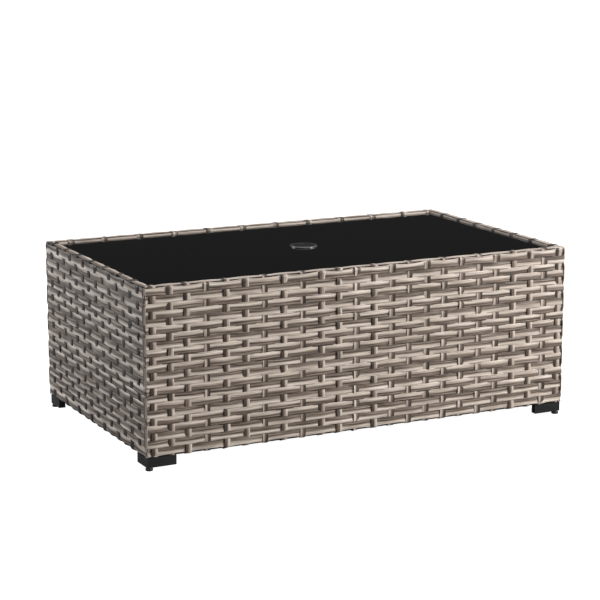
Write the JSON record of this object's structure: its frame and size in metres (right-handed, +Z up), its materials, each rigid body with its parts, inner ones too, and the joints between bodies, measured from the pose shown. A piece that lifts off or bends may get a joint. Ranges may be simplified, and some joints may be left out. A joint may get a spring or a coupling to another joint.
{
  "type": "wicker coffee table",
  "caption": "Low rectangular wicker table on a tube frame, with a lift-off black glass top sunk in the rim, a capped pole hole in its middle, and L-shaped corner feet on turning glides.",
  "frame": {"origin": "on the floor under the middle of the table", "axes": "+X along the table's length, +Z up, front faces -Y"},
  "size_m": [1.08, 0.626, 0.41],
  "materials": {
    "frame": "black powder coat, satin",
    "wicker": "streaked taupe and cream strand, satin",
    "glass": "opaque black, polished",
    "ring": "dark grey, glossy",
    "pad": "clear soft plastic",
    "foot_plastic": "black, moulded",
    "insert": "zinc plated",
    "staple": "bright wire"
  },
  "bodies": {
    "table": {"corner_post_front_left": "frame", "corner_post_front_right": "frame", "corner_post_back_left": "frame", "corner_post_back_right": "frame", "top_rail_front": "frame", "top_rail_back": "frame", "top_rail_left": "frame", "top_rail_right": "frame", "bottom_rail_front": "frame", "bottom_rail_back": "frame", "bottom_rail_left": "frame", "bottom_rail_right": "frame", "middle_post_front": "frame", "middle_post_back": "frame", "glass_ledge_front": "frame", "glass_ledge_back": "frame", "glass_ledge_left": "frame", "glass_ledge_right": "frame", "cross_bar_left": "frame", "cross_bar_right": "frame", "weave_front": "wicker", "weave_back": "wicker", "weave_left": "wicker", "weave_right": "wicker", "rim_wrap_front": "wicker", "rim_wrap_back": "wicker", "rim_wrap_left": "wicker", "rim_wrap_right": "wicker", "stake_staples": "staple", "glass_pads": "pad", "foot_front_left": "frame", "foot_front_right": "frame", "foot_back_left": "frame", "foot_back_right": "frame", "foot_plugs": "foot_plastic", "glide_inserts": "insert"},
    "glass": {"glass_top": "glass", "hole_ring": "ring"},
    "cap": {"hole_cap": "ring"},
    "glide_front_left": {"glide_front_left": "foot_plastic"},
    "glide_front_right": {"glide_front_right": "foot_plastic"},
    "glide_back_left": {"glide_back_left": "foot_plastic"},
    "glide_back_right": {"glide_back_right": "foot_plastic"}
  },
  "joints": [
    {"name": "glass_lift", "type": "slide", "parent": "table", "child": "glass", "axis": [0, 0, 1], "range_m": [0, 0.1]},
    {"name": "cap_lift", "type": "slide", "parent": "glass", "child": "cap", "axis": [0, 0, 1], "range_m": [0, 0.04]},
    {"name": "glide_front_left_turn", "type": "hinge", "parent": "table", "child": "glide_front_left", "pos_m": [-0.528, -0.301, 0], "axis": [0, 0, 1], "continuous": true},
    {"name": "glide_front_right_turn", "type": "hinge", "parent": "table", "child": "glide_front_right", "pos_m": [0.528, -0.301, 0], "axis": [0, 0, 1], "continuous": true},
    {"name": "glide_back_left_turn", "type": "hinge", "parent": "table", "child": "glide_back_left", "pos_m": [-0.528, 0.301, 0], "axis": [0, 0, 1], "continuous": true},
    {"name": "glide_back_right_turn", "type": "hinge", "parent": "table", "child": "glide_back_right", "pos_m": [0.528, 0.301, 0], "axis": [0, 0, 1], "continuous": true}
  ]
}
